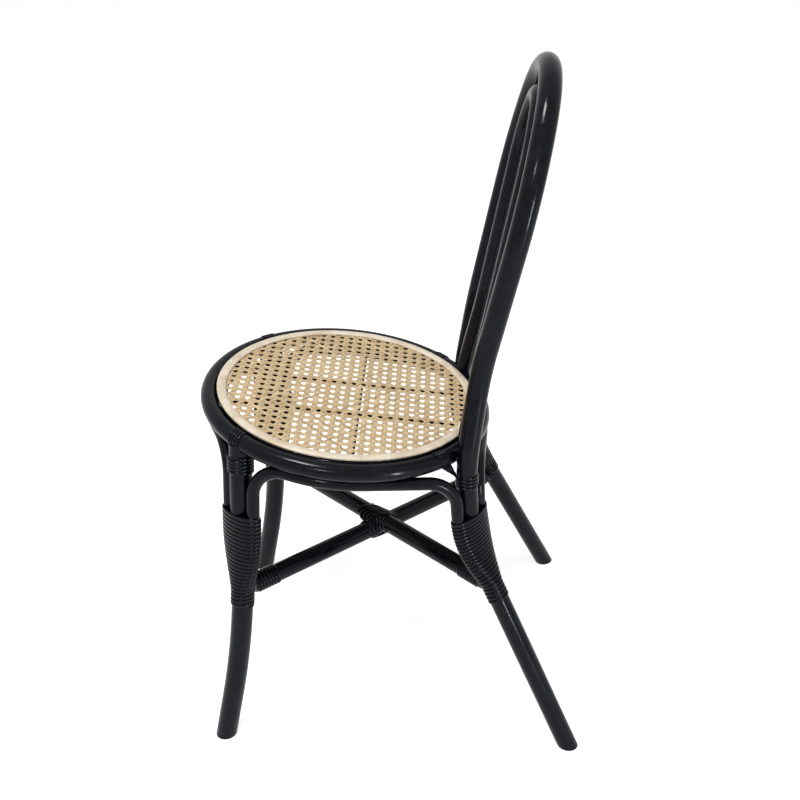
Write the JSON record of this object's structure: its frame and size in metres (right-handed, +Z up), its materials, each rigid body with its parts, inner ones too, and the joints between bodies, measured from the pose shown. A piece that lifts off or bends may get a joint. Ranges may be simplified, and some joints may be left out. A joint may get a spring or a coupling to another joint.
{
  "type": "bistro chair",
  "caption": "Armless bistro chair of bent rattan poles with a double-hoop back, round cane seat, sabre legs, leg arches and crossed stretchers.",
  "frame": {"origin": "on the floor, in the middle of the four feet's footprint", "axes": "+Z up, -Y towards the front of the chair, +X towards the sitter's left"},
  "size_m": [0.446, 0.5191, 0.8976],
  "materials": {
    "frame": "black satin lacquer over round rattan pole",
    "peel": "black satin lacquer over wound peel",
    "cane": "natural cane, matt",
    "border": "natural split strip, matt",
    "steel": "plain steel",
    "dowel": "bare wood"
  },
  "bodies": {
    "root": {"back_frame": "frame", "front_arch": "frame", "front_binding_left": "peel", "front_binding_right": "peel", "front_leg_dowels": "dowel", "front_leg_left": "frame", "front_leg_right": "frame", "front_tie_left": "peel", "front_tie_right": "peel", "inner_hoop": "frame", "inner_hoop_dowels": "dowel", "lashing_crosswise": "peel", "lashing_lengthwise": "peel", "panel_hoop": "frame", "post_screws": "steel", "rear_arch": "frame", "rear_binding_left": "peel", "rear_binding_right": "peel", "rear_tie_left": "peel", "rear_tie_right": "peel", "seat_crossbar": "frame", "seat_ring": "frame", "seat_rod_left": "frame", "seat_rod_right": "frame", "side_arch_left": "frame", "side_arch_right": "frame", "stretcher_high": "frame", "stretcher_low": "frame", "stretcher_tie_front_left": "peel", "stretcher_tie_front_right": "peel", "stretcher_tie_rear_left": "peel", "stretcher_tie_rear_right": "peel", "webbing": "cane", "webbing_border": "border"}
  },
  "joints": []
}
